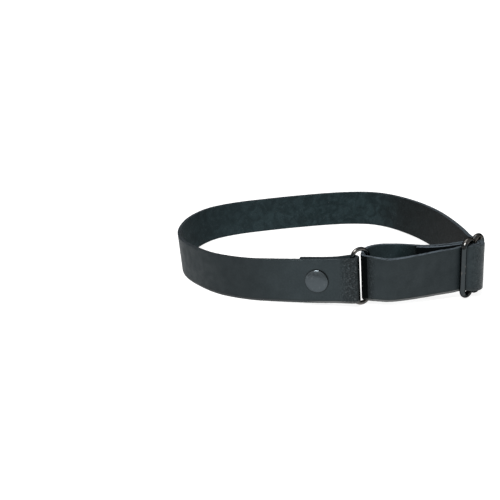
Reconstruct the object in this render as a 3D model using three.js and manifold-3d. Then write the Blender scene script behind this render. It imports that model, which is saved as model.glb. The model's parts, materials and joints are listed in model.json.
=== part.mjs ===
// Shirt sleeve holder: one long leather strap bent into an arm band, with a wire ring at the
// front, a double-loop wire slide at the side and two rivets.
// Millimetres, +Z up. The band stands on its lower edge on the plane Z = 0, X runs along its
// long side and -Y is the front, where the riveted fold, the ring and the slide are.
// The origin is at the middle of the bounding box, on the plane that the band stands on.

import * as THREE from 'three';
import { mergeVertices } from 'three/addons/utils/BufferGeometryUtils.js';
import Module from 'manifold-3d';

const wasm = await Module();
wasm.setup();

// Leather
const STRAP_WIDTH = 19;
const STRAP_THICKNESS = 1.7;
const PARED_THICKNESS = 1.1;
const EDGE_ROUNDING = 0.3;
const LAYER_GAP = 0.2;
const SECTION_STEP = 3;

// Wire hardware, black nickel. The leather bends round a bar at WIRE_GAP; where it presses on the
// metal elsewhere it is cut back by CUT_GAP.
const WIRE_GAP = 0.2;
const CUT_GAP = 0.15;
const RING = { wire: 1.7, pitch: 6.8, height: 24.8, yaw: 13 };
const SLIDE = { wire: 2.3, pitch: 6.7, height: 25.6, yaw: 38 };
const WIRE_SIDES = 12;
const WIRE_STEPS = 48;

// Rivets: diameters of cap, shank and washer, the cap's rim and dome, the washer's depth, how far
// both heads are sunk in the leather, and the rivet's height up the strap
const FRONT_RIVET = {
  cap: 9.5, rim: 0.4, dome: 0.8, shank: 3, washer: 7.5, washerDepth: 0.6, sunk: 0, height: 9.8,
};
const END_RIVET = {
  cap: 6, rim: 0.4, dome: 0.3, shank: 2.6, washer: 6, washerDepth: 0.6, sunk: 0.35, height: 9.5,
};
const RIVET_SIDES = 32;
const DOME_STEPS = 4;
const WASHER_BEVEL = 0.25;

// The front of the band leans back with its ring, and less so at the slide, in degrees.
const FRONT_LEAN = 6;
const SLIDE_LEAN = 4;

// The upright bars that the leather folds round: place on the plan, and height of the
// leather's lower edge there.
const RING_LEFT_BAR = { x: 10.1, y: -48.2, lift: 2.3, lean: FRONT_LEAN };
const RING_RIGHT_BAR = onPlan(RING_LEFT_BAR, RING.pitch, RING.yaw);
const SLIDE_CENTRE_BAR = { x: 58.5, y: -47.9, lift: 3.9, lean: SLIDE_LEAN };

// Each turn of the leather round a bar, clockwise from one bearing to another, in degrees.
// The turn round the ring's right bar is slack: it stands off the bar by RING_SLACK more.
const FIRST_FOLD = { from: 74, to: -106 };
const RING_TURN = { from: -105, to: -205 };
const RING_SLACK = 0.2;
const OUTER_TURN = { from: 22, to: -118 };
const INNER_TURN = { from: 85, to: -120 };
const TURN_STEP = 22;

// The strap's centreline, a row for each place that it passes, in the strap's own order.
// x, y: plan of the lower edge. lift: its height. lean: degrees that the wall leans back.
const FRONT_STRETCH = [
  // x, y, lift, lean
  [3.2, -47.6, 1.9, 6],
  [-4.1, -44.9, 1.3, 6],
  [-20.0, -38.8, 0.5, 5],
  [-32.1, -33.8, 0.1, 4],
  [-45.2, -25.8, 0.0, 4],
  [-54.6, -15.6, 0.0, 3],
];
const LEFT_END = [
  [-62.0, -3.6, 0.0, 2],
  [-64.7, 7.5, 0.0, 2],
  [-64.2, 20.0, 0.0, 1],
  [-60.2, 33.2, 0.0, 0],
  [-51.2, 44.4, 0.0, 0],
];
const BACK_STRETCH = [
  [-37.5, 49.8, 0.0, 0],
  [-20.0, 51.8, 0.0, 0],
  [0.0, 52.6, 0.0, 0],
  [18.0, 52.1, 0.0, 0],
  [30.5, 50.1, 0.0, 0],
];
const RIGHT_END = [
  [40.4, 46.0, 0.1, 0],
  [48.0, 38.2, 0.4, 0],
  [54.0, 26.4, 0.9, 1],
  [58.5, 12.6, 1.5, 2],
  [61.0, -2.0, 2.1, 3],
  [61.6, -17.0, 2.8, 4],
  [61.0, -31.0, 3.5, 4],
  [60.4, -40.6, 3.8, 4],
];
const FRONT_LAYER = [
  [53.6, -49.8, 3.7, 3],
  [49.4, -49.9, 3.2, 1.5],
  [44.0, -50.3, 3.0, 1.5],
  [36.0, -51.1, 2.75, -0.5],
  [28.2, -51.5, 2.5, -2.5],
  [23.4, -51.2, 2.4, -3.5],
  [19.6, -49.8, 2.3, 0],
];
const INNER_LAYER = [
  [16.1, -42.6, 2.4, 6],
  [18.7, -39.4, 2.4, 6],
  [23.4, -38.2, 2.5, 6],
  [28.2, -39.1, 2.6, 6],
  [33.2, -41.2, 2.8, 6],
  [38.2, -43.7, 2.9, 6],
  [42.2, -45.2, 3.0, 6],
  [46.0, -45.9, 3.2, 6],
  [50.2, -45.9, 3.4, 5],
  [54.4, -45.8, 3.7, 4],
];
const FIRST_END_LENGTH = 15;
const SECOND_END_LENGTH = 18;

// The strap is pared thinner for its tight turn round the slide's middle bar. It thins, and
// thickens again, over this many rows.
const PARED_ROWS = 2;

const LEATHER = { color: 0x33383a, roughness: 0.55, metalness: 0 };
const BLACK_NICKEL = { color: 0x2b3034, roughness: 0.3, metalness: 0.9 };

/** The place at a distance and a bearing, in degrees, from a bar, with the bar's lift and lean. */
function onPlan(bar, distance, bearing) {
  const angle = THREE.MathUtils.degToRad(bearing);
  return { ...bar, x: bar.x + distance * Math.cos(angle), y: bar.y + distance * Math.sin(angle) };
}

/** Rows of the centreline as it turns round a bar at a radius. */
function wrap(bar, radius, { from, to }) {
  const steps = Math.max(2, Math.round((from - to) / TURN_STEP));
  return Array.from({ length: steps + 1 }, (_, i) => {
    const place = onPlan(bar, radius, from + ((to - from) * i) / steps);
    return [place.x, place.y, place.lift, place.lean];
  });
}

/** Rows that run beside others at a distance, to the right of their direction. */
function beside(rows, distance) {
  return rows.map(([x, y, lift, lean], i) => {
    const before = rows[Math.max(i - 1, 0)];
    const after = rows[Math.min(i + 1, rows.length - 1)];
    const along = new THREE.Vector2(after[0] - before[0], after[1] - before[1]).normalize();
    return [x + distance * along.y, y - distance * along.x, lift, lean];
  });
}

/** The first rows of a list, as far as a length along it, ending exactly there. */
function firstStretch(rows, length) {
  const kept = [rows[0]];
  let left = length;
  for (let i = 1; i < rows.length; i += 1) {
    const step = Math.hypot(rows[i][0] - rows[i - 1][0], rows[i][1] - rows[i - 1][1]);
    if (step >= left) {
      kept.push(rows[i].map((value, k) => THREE.MathUtils.lerp(rows[i - 1][k], value, left / step)));
      return kept;
    }
    kept.push(rows[i]);
    left -= step;
  }
  return kept;
}

/** A smooth centreline through rows, sampled evenly: points on the plan with lift and lean. */
function centreline(rows) {
  const curve = new THREE.CatmullRomCurve3(rows.map(([x, y, lift]) => new THREE.Vector3(x, y, lift)));
  const stations = [];
  for (let i = 0; i < rows.length - 1; i += 1) {
    const span = Math.hypot(rows[i + 1][0] - rows[i][0], rows[i + 1][1] - rows[i][1]);
    const steps = Math.max(1, Math.round(span / SECTION_STEP));
    const last = i === rows.length - 2 ? 1 : 0;
    for (let k = 0; k < steps + last; k += 1) {
      const share = k / steps;
      const lean = THREE.MathUtils.lerp(rows[i][3], rows[i + 1][3], share);
      const base = curve.getPoint((i + share) / (rows.length - 1));
      base.z = Math.max(base.z, 0);
      stations.push({ base, lean, place: i + share, row: share === 0 ? rows[i] : null });
    }
  }
  return stations;
}

/** How far the strap is pared at a place in the list of rows, from 0 to 1. */
function paring(place, from, to) {
  const thinned = THREE.MathUtils.smoothstep(place, from - PARED_ROWS, from);
  const thickened = THREE.MathUtils.smoothstep(place, to, to + PARED_ROWS);
  return thinned - thickened;
}

/** Each station with its half thickness, and its directions up the wall and out of its smooth side. */
function withFrames(stations, paredFrom, paredTo) {
  return stations.map(({ base, lean, place, row }, i) => {
    const before = stations[Math.max(i - 1, 0)].base;
    const after = stations[Math.min(i + 1, stations.length - 1)].base;
    const along = after.clone().sub(before).normalize();
    const angle = THREE.MathUtils.degToRad(lean);
    const up = new THREE.Vector3(0, Math.sin(angle), Math.cos(angle));
    const out = up.clone().cross(along).normalize();
    const pared = paring(place, paredFrom, paredTo);
    const half = THREE.MathUtils.lerp(STRAP_THICKNESS, PARED_THICKNESS, pared) / 2;
    const seat = (half - EDGE_ROUNDING) * Math.abs(out.z);
    return { base: base.clone().setZ(base.z + seat), up, out, half, row };
  });
}

/** The strap's section: [distance out of the centreline, height above the lower edge]. */
function strapSection(half) {
  const inset = EDGE_ROUNDING;
  return [
    [half - inset, 0],
    [half, inset],
    [half, STRAP_WIDTH - inset],
    [half - inset, STRAP_WIDTH],
    [inset - half, STRAP_WIDTH],
    [-half, STRAP_WIDTH - inset],
    [-half, inset],
    [inset - half, 0],
  ];
}

/** A closed band: the section set up at every station, with a cap at both cut ends. */
function bandGeometry(frames) {
  const sides = strapSection(0).length;
  const positions = frames.flatMap(({ base, up, out, half }) =>
    strapSection(half).flatMap(([outward, height]) =>
      base.clone().addScaledVector(out, outward).addScaledVector(up, height).toArray()));
  const faces = [];
  for (let i = 0; i < frames.length - 1; i += 1) {
    for (let k = 0; k < sides; k += 1) {
      const a = i * sides + k;
      const b = i * sides + ((k + 1) % sides);
      faces.push(a, a + sides, b, b, a + sides, b + sides);
    }
  }
  const end = (frames.length - 1) * sides;
  for (let k = 1; k < sides - 1; k += 1) {
    faces.push(0, k, k + 1);
    faces.push(end, end + k + 1, end + k);
  }
  const geometry = new THREE.BufferGeometry();
  geometry.setAttribute('position', new THREE.Float32BufferAttribute(positions, 3));
  geometry.setIndex(faces);
  return geometry;
}

/** One wire loop in the XZ plane: two upright bars a pitch apart, joined by half circles. */
class LoopCurve extends THREE.Curve {
  constructor(pitch, height, wire) {
    super();
    this.radius = pitch / 2;
    this.straight = height - wire - pitch;
    this.low = wire / 2 + this.radius;
  }

  getPoint(t, target = new THREE.Vector3()) {
    const arc = Math.PI * this.radius;
    const half = this.straight + arc;
    const far = t >= 0.5;
    const walked = (far ? t - 0.5 : t) * 2 * half;
    const turn = Math.max(walked - this.straight, 0) / this.radius;
    const side = far ? 1 : -1;
    const x = side * this.radius * Math.cos(turn);
    const rise = Math.min(walked, this.straight) + this.radius * Math.sin(turn);
    const z = far ? this.low + this.straight - rise : this.low + rise;
    return target.set(x, 0, z);
  }
}

/** A closed manifold solid made from a three.js geometry, with its faces pointing out. */
function solid(geometry) {
  const bare = new THREE.BufferGeometry();
  bare.setAttribute('position', geometry.getAttribute('position').clone());
  if (geometry.index) bare.setIndex(geometry.index.clone());
  const merged = mergeVertices(bare, 1e-3);
  const vertProperties = new Float32Array(merged.getAttribute('position').array);
  const kept = [];
  for (let i = 0; i < merged.index.count; i += 3) {
    const [a, b, c] = [0, 1, 2].map((k) => merged.index.getX(i + k));
    if (a !== b && b !== c && a !== c) kept.push(a, b, c);
  }
  const make = (order) => new wasm.Manifold(new wasm.Mesh({
    numProp: 3,
    vertProperties,
    triVerts: new Uint32Array(order),
  }));
  const made = make(kept);
  return made.volume() > 0 ? made : make(kept.slice().reverse());
}

/** The three.js geometry of a manifold solid. */
function geometryOf(body) {
  const mesh = body.getMesh();
  const geometry = new THREE.BufferGeometry();
  geometry.setAttribute('position', new THREE.BufferAttribute(new Float32Array(mesh.vertProperties), 3));
  geometry.setIndex(new THREE.BufferAttribute(new Uint32Array(mesh.triVerts), 1));
  geometry.computeVertexNormals();
  return geometry;
}

/** Loops of wire side by side, each sharing a bar with the next, as one soldered solid. */
function wireLoops(count, { wire, pitch, height }, growth) {
  const curve = new LoopCurve(pitch, height, wire);
  const tube = new THREE.TubeGeometry(curve, WIRE_STEPS, wire / 2 + growth, WIRE_SIDES, true);
  const loops = Array.from({ length: count }, (_, i) =>
    solid(tube.clone().translate((i - (count - 1) / 2) * pitch, 0, 0)));
  return loops.reduce((joined, next) => joined.add(next));
}

/** Stands upright wire on the plane Z = 0, turned by its yaw and leaning back with the band. */
function stand(body, bar, yaw, growth) {
  const turn = new THREE.Matrix4().makeRotationZ(THREE.MathUtils.degToRad(yaw));
  const lean = new THREE.Matrix4().makeRotationX(THREE.MathUtils.degToRad(-bar.lean));
  const turned = body.transform(lean.multiply(turn).toArray());
  return turned.translate([bar.x, bar.y, -turned.boundingBox().min[2] - growth]);
}

/** A rivet along +Y: washer below, shank through the leather, domed cap above. */
function rivetGeometry(rivet, growth) {
  const face = STRAP_THICKNESS + LAYER_GAP / 2 + WIRE_GAP - rivet.sunk - growth;
  const low = -face - rivet.washerDepth - 2 * growth;
  const rim = face + rivet.rim + 2 * growth;
  const shank = rivet.shank / 2 + growth;
  const washer = rivet.washer / 2 + growth;
  const cap = rivet.cap / 2 + growth;
  const dome = Array.from({ length: DOME_STEPS + 1 }, (_, i) => {
    const angle = (Math.PI / 2) * (i / DOME_STEPS);
    return [cap * Math.cos(angle), rim + rivet.dome * Math.sin(angle)];
  });
  const profile = [
    [0, low],
    [washer - WASHER_BEVEL, low],
    [washer, low + WASHER_BEVEL],
    [washer, -face],
    [shank, -face],
    [shank, face],
    [cap, face],
    ...dome,
  ];
  return new THREE.LatheGeometry(profile.map(([x, y]) => new THREE.Vector2(x, y)), RIVET_SIDES);
}

/** A rivet through the strap's layer at a frame and the layer on its inner side. */
function setRivet(rivet, frame, growth) {
  const { base, up, out } = frame;
  const centre = base.clone().addScaledVector(up, rivet.height).addScaledVector(out, -layerStep / 2);
  const basis = new THREE.Matrix4().makeBasis(out.clone().cross(up), out, up);
  return solid(rivetGeometry(rivet, growth).applyMatrix4(basis.setPosition(centre)));
}

/** A named mesh with a material of its own. */
function piece(name, body, material) {
  const mesh = new THREE.Mesh(geometryOf(body), new THREE.MeshStandardMaterial(material));
  mesh.name = name;
  return mesh;
}

const layerStep = STRAP_THICKNESS + LAYER_GAP;
const ringWrap = RING.wire / 2 + WIRE_GAP + STRAP_THICKNESS / 2;
const innerWrap = SLIDE.wire / 2 + WIRE_GAP + PARED_THICKNESS / 2;
const outerWrap = innerWrap + PARED_THICKNESS / 2 + LAYER_GAP + STRAP_THICKNESS / 2;

const firstFold = wrap(RING_LEFT_BAR, ringWrap, FIRST_FOLD);
const firstEnd = firstStretch(beside(FRONT_STRETCH, layerStep), FIRST_END_LENGTH);
const ringTurn = wrap(RING_RIGHT_BAR, ringWrap + RING_SLACK, RING_TURN);
const outerTurn = wrap(SLIDE_CENTRE_BAR, outerWrap, OUTER_TURN);
const innerTurn = wrap(SLIDE_CENTRE_BAR, innerWrap, INNER_TURN);
const secondEnd = firstStretch(beside(INNER_LAYER, layerStep).reverse(), SECOND_END_LENGTH);

const rows = [
  ...firstEnd.reverse(),
  ...firstFold,
  ...FRONT_STRETCH,
  ...LEFT_END,
  ...BACK_STRETCH,
  ...RIGHT_END,
  ...outerTurn,
  ...FRONT_LAYER,
  ...ringTurn,
  ...INNER_LAYER,
  ...innerTurn,
  ...secondEnd,
];

const paredFrom = rows.indexOf(innerTurn[0]);
const paredTo = paredFrom + innerTurn.length - 1;
const frames = withFrames(centreline(rows), paredFrom, paredTo);
const frontRivetFrame = frames.find(({ row }) => row === FRONT_STRETCH[1]);
const endRivetFrame = frames.find(({ row }) => row === INNER_LAYER[6]);

/** The rivet through the first end, cap on the smooth outer side. */
function frontRivet(growth) {
  return setRivet(FRONT_RIVET, frontRivetFrame, growth);
}

/** The flat rivet that holds the second end to the inner layer, beside the slide. */
function endRivet(growth) {
  return setRivet(END_RIVET, endRivetFrame, growth);
}

/** The ring, standing between the two folds. */
function ring(growth) {
  const middle = onPlan(RING_LEFT_BAR, RING.pitch / 2, RING.yaw);
  return stand(wireLoops(1, RING, growth), middle, RING.yaw, growth);
}

/** The slide, with its middle bar inside the turn of the strap. */
function slide(growth) {
  return stand(wireLoops(2, SLIDE, growth), SLIDE_CENTRE_BAR, SLIDE.yaw, growth);
}

const strap = [frontRivet, endRivet, ring, slide].reduce(
  (leather, hardware) => leather.subtract(hardware(CUT_GAP)),
  solid(bandGeometry(frames)),
);

const holder = new THREE.Group();
holder.add(
  piece('strap', strap, LEATHER),
  piece('ring', ring(0), BLACK_NICKEL),
  piece('slide', slide(0), BLACK_NICKEL),
  piece('front_rivet', frontRivet(0), BLACK_NICKEL),
  piece('end_rivet', endRivet(0), BLACK_NICKEL),
);

const box = new THREE.Box3().setFromObject(holder);
holder.position.set(-(box.min.x + box.max.x) / 2, -(box.min.y + box.max.y) / 2, -box.min.z);

export default holder;
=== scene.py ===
"""A leather shirt sleeve holder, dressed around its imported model.

One strap is bent into an arm band. It runs through a wire ring and a wire slide, and two rivets
hold its ends. Tables are in millimetres; all that is built from them is in metres.
"""

import json
import logging
import math
from collections.abc import Callable, Iterator, Mapping, Sequence
from contextlib import contextmanager
from dataclasses import dataclass, field
from enum import Enum, IntEnum

import bmesh
import bpy
import numpy as np
from mathutils import Matrix, Vector
from mathutils.kdtree import KDTree

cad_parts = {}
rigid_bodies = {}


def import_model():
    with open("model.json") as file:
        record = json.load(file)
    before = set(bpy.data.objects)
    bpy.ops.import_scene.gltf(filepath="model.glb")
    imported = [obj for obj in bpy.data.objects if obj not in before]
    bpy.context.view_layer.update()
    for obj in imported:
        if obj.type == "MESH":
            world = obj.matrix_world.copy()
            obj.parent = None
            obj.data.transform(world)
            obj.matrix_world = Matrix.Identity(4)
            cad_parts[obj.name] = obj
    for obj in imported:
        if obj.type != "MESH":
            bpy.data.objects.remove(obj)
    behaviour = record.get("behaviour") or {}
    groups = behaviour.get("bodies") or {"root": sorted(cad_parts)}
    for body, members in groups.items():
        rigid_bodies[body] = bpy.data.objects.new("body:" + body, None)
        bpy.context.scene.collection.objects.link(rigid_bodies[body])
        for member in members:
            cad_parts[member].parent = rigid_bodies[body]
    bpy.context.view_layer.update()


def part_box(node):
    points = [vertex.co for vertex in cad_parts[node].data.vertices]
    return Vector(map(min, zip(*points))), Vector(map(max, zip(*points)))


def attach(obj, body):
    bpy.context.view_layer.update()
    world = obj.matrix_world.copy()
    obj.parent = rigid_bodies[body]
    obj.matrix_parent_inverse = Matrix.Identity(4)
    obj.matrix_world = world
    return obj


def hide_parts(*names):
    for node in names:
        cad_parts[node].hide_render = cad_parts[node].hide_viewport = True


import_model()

log = logging.getLogger("sleeve_holder")

MM = 0.001
BODY = "root"

Colour = tuple[float, float, float]
Socket = bpy.types.NodeSocket
# Tones at distances along the strap, in metres
Stops = Sequence[tuple[float, float]]


# Modelling by operators


def deselect_all() -> None:
    """Leaves no object selected and none active."""
    for item in bpy.context.view_layer.objects:
        item.select_set(False)
    bpy.context.view_layer.objects.active = None


def pick(piece: bpy.types.Object) -> None:
    """Selects one object alone and makes it active.

    Args:
        piece: The object to select.
    """
    deselect_all()
    piece.select_set(True)
    bpy.context.view_layer.objects.active = piece


@contextmanager
def editing(piece: bpy.types.Object) -> Iterator[None]:
    """Keeps an object in edit mode for the length of a with block, all selected at its start.

    Args:
        piece: The mesh object to edit.
    """
    pick(piece)
    bpy.ops.object.mode_set(mode="EDIT")
    bpy.ops.mesh.select_all(action="SELECT")
    yield
    bpy.ops.object.mode_set(mode="OBJECT")


def extrude(x: float = 0.0, y: float = 0.0, z: float = 0.0) -> None:
    """Extrudes what is selected in edit mode by distances along the axes, in metres."""
    bpy.ops.mesh.extrude_region_move(TRANSFORM_OT_translate={"value": (x, y, z)})


def select_edges(piece: bpy.types.Object, wanted: Callable[[bmesh.types.BMEdge], bool]) -> None:
    """Selects edges of a mesh in edit mode.

    Args:
        piece: The object in edit mode.
        wanted: Says whether an edge is selected.
    """
    bpy.ops.mesh.select_mode(type="EDGE")
    bpy.ops.mesh.select_all(action="DESELECT")
    mesh = bmesh.from_edit_mesh(piece.data)
    for edge in mesh.edges:
        if wanted(edge):
            edge.select = True
    mesh.select_flush_mode()
    bmesh.update_edit_mesh(piece.data)


def apply_modifier(piece: bpy.types.Object, kind: str, **settings: object) -> None:
    """Adds a modifier to an object, sets it and applies it.

    Args:
        piece: The mesh object.
        kind: The modifier's type.
        settings: Its properties by name.
    """
    pick(piece)
    modifier = piece.modifiers.new(kind.title(), kind)
    for name, value in settings.items():
        setattr(modifier, name, value)
    bpy.ops.object.modifier_apply(modifier=modifier.name)


def settle(piece: bpy.types.Object, placement: Matrix) -> None:
    """Puts an object in its place and leaves that place in the mesh alone.

    Args:
        piece: The object, modelled round the origin.
        placement: Where it goes.
    """
    piece.matrix_world = placement
    pick(piece)
    bpy.ops.object.transform_apply(location=True, rotation=True, scale=True)


def close_seams(piece: bpy.types.Object) -> None:
    """Merges doubled vertices and then turns all faces outwards.

    Args:
        piece: The mesh object.
    """
    with editing(piece):
        bpy.ops.mesh.remove_doubles(threshold=0.002 * MM)
        bpy.ops.mesh.normals_make_consistent(inside=False)


def vertex_places(piece: bpy.types.Object) -> np.ndarray:
    """The vertices of a mesh.

    Args:
        piece: The mesh object.

    Returns:
        An array with a row of X, Y and Z for each vertex.
    """
    places = np.empty(len(piece.data.vertices) * 3)
    piece.data.vertices.foreach_get("co", places)
    return places.reshape(-1, 3)


def set_vertex_places(piece: bpy.types.Object, places: np.ndarray) -> None:
    """Moves the vertices of a mesh to places given as rows of X, Y and Z."""
    piece.data.vertices.foreach_set("co", places.ravel())
    piece.data.update()


def store(piece: bpy.types.Object, amounts: dict[str, np.ndarray]) -> None:
    """Stores number attributes on a mesh, an array for each name with a value for each vertex."""
    for name, values in amounts.items():
        piece.data.attributes.new(name, "FLOAT", "POINT").data.foreach_set("value", values)


def hand_over(piece: bpy.types.Object, node: str) -> None:
    """Gives a finished piece to the frame, in place of a node.

    Args:
        piece: The finished piece.
        node: The node that it stands for.
    """
    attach(piece, BODY)
    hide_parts(node)
    log.info("%s: %d faces, stands for %s", piece.name, len(piece.data.polygons), node)


# Shader nodes


class Shader:
    """One material's node tree, with short calls for the nodes that the finishes share."""

    def __init__(self, name: str, attribute: str | None = None) -> None:
        """Starts a material with a Principled shader.

        Args:
            name: The material's name.
            attribute: The vector attribute that patterns follow, or None for Object coordinates.
        """
        self.material = bpy.data.materials.new(name)
        self.material.use_nodes = True
        self.tree = self.material.node_tree
        self.tree.nodes.clear()
        self.surface = self.node("ShaderNodeBsdfPrincipled")
        self.node("ShaderNodeOutputMaterial", {"Surface": self.surface.outputs["BSDF"]})
        if attribute:
            self.place = self.node("ShaderNodeAttribute", attribute_name=attribute).outputs["Vector"]
        else:
            self.place = self.node("ShaderNodeTexCoord").outputs["Object"]

    def give(self, node: bpy.types.Node, name: str | int, value: object) -> None:
        """Links a socket to an input, or sets the input's value.

        Args:
            node: The node that receives it.
            name: The input's name or number.
            value: An output socket, a number, a colour or a vector.
        """
        into = node.inputs[name]
        if isinstance(value, bpy.types.NodeSocket):
            self.tree.links.new(value, into)
        elif into.type == "RGBA":
            into.default_value = (*value, 1.0)
        else:
            into.default_value = value

    def node(
        self, kind: str, inputs: Mapping[str | int, object] | None = None, **settings: object
    ) -> bpy.types.Node:
        """Adds a node.

        Args:
            kind: The node's type.
            inputs: Sockets or values, by the input's name or number.
            settings: Its properties by name.

        Returns:
            The node.
        """
        node = self.tree.nodes.new(kind)
        for name, value in settings.items():
            setattr(node, name, value)
        for name, value in (inputs or {}).items():
            self.give(node, name, value)
        return node

    def finish(self, **inputs: object) -> bpy.types.Material:
        """Sets the Principled shader's inputs.

        Args:
            inputs: Values or sockets, by the input's name with _ for a space.

        Returns:
            The finished material.
        """
        for name, value in inputs.items():
            self.give(self.surface, name.replace("_", " "), value)
        return self.material

    def stretched(self, sizes: Sequence[float]) -> Socket:
        """The pattern's coordinates, divided by the size of its features along each axis.

        Args:
            sizes: Feature sizes along X, Y and Z, in metres.

        Returns:
            The scaled coordinates.
        """
        inputs = {"Vector": self.place, "Scale": [1 / size for size in sizes]}
        return self.node("ShaderNodeMapping", inputs).outputs["Vector"]

    def noise(self, sizes: float | Sequence[float], detail: float = 2.0, warp: float = 0.0) -> Socket:
        """Soft noise.

        Args:
            sizes: Size of its features, one number or one for each axis, in metres.
            detail: How many finer octaves it has.
            warp: How far it is distorted.

        Returns:
            A number from 0 to 1, about 0.5 on average.
        """
        if isinstance(sizes, float):
            sizes = (sizes, sizes, sizes)
        inputs = {"Vector": self.stretched(sizes), "Scale": 1.0, "Detail": detail, "Distortion": warp}
        return self.node("ShaderNodeTexNoise", inputs).outputs["Fac"]

    def cells(self, size: float) -> Socket:
        """A cell pattern, as of pores: the distance from the middle of cells of this size in metres."""
        inputs = {"Vector": self.stretched((size, size, size)), "Scale": 1.0}
        return self.node("ShaderNodeTexVoronoi", inputs).outputs["Distance"]

    def number(self, name: str) -> Socket:
        """The value of a number attribute of the mesh."""
        return self.node("ShaderNodeAttribute", attribute_name=name).outputs["Fac"]

    def axis(self, name: str) -> Socket:
        """One of the pattern's coordinates, X, Y or Z, in metres."""
        return self.node("ShaderNodeSeparateXYZ", {"Vector": self.place}).outputs[name]

    def spread(
        self, value: Socket, low: float, high: float, to: tuple[float, float] = (0.0, 1.0)
    ) -> Socket:
        """Maps a range of a number smoothly to another range.

        Args:
            value: The number.
            low: Where the result starts.
            high: Where it ends.
            to: The result at low and at high.

        Returns:
            The mapped number, kept in its range.
        """
        inputs = {"Value": value, "From Min": low, "From Max": high, "To Min": to[0], "To Max": to[1]}
        return self.node("ShaderNodeMapRange", inputs, interpolation_type="SMOOTHSTEP").outputs["Result"]

    def maths(self, operation: str, first: object, second: object = 0.0) -> Socket:
        """One sum on numbers.

        Args:
            operation: The Math node's operation.
            first: A socket or a number.
            second: A socket or a number.

        Returns:
            The result.
        """
        return self.node("ShaderNodeMath", {0: first, 1: second}, operation=operation).outputs["Value"]

    def times(self, first: object, *others: object) -> Socket:
        """The product of sockets and numbers.

        Args:
            first: The first factor.
            others: The other factors.

        Returns:
            The product.
        """
        product = first
        for other in others:
            product = self.maths("MULTIPLY", product, other)
        return product

    def mix(self, share: Socket, first: object, second: object) -> Socket:
        """Mixes two colours.

        Args:
            share: 0 for the first colour and 1 for the second.
            first: A socket or a colour.
            second: A socket or a colour.

        Returns:
            The mixed colour.
        """
        # The Mix node's colours are its inputs 6 and 7 and its output 2.
        node = self.node("ShaderNodeMix", data_type="RGBA")
        for number, value in ((0, share), (6, first), (7, second)):
            self.give(node, number, value)
        return node.outputs[2]

    def mix_numbers(self, share: Socket, first: object, second: object) -> Socket:
        """Mixes two numbers.

        Args:
            share: 0 for the first number and 1 for the second.
            first: A socket or a number.
            second: A socket or a number.

        Returns:
            The mixed number.
        """
        # The Mix node's numbers are its inputs 2 and 3 and its output 0.
        return self.node("ShaderNodeMix", {0: share, 2: first, 3: second}).outputs[0]

    def bump(self, height: Socket, depth: float, below: Socket | None = None) -> Socket:
        """Turns a height into a bumped normal.

        Args:
            height: The height, 0 to 1.
            depth: What a height of 1 stands for, in metres.
            below: A normal that this bump adds to.

        Returns:
            The normal.
        """
        inputs = {"Strength": 1.0, "Distance": depth, "Height": height}
        if below is not None:
            inputs["Normal"] = below
        return self.node("ShaderNodeBump", inputs).outputs["Normal"]


# Finishes

# Attributes of the strap: its flat places, then amounts from 0 to 1 (creases, painted shade, pale cut
# edges, painted floor light on the lower rim), and the nap's tone of painted shade and light from -1 to 1
FLAT = "flat_place"
CREASED = "creased"
SHADED = "shaded"
PALE_EDGE = "pale_edge"
FLOOR_LIGHT_FOOT = "floor_light_foot"
NAP_SHADING = "nap_shading"

# Attributes of the rivets: the painted shadow at the foot of the cap's wall, and the shine of its rim with
# a painted highlight
SEAM_SHADOW = "seam_shadow"
POLISH_AND_HIGHLIGHT = "polish_and_highlight"


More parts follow.
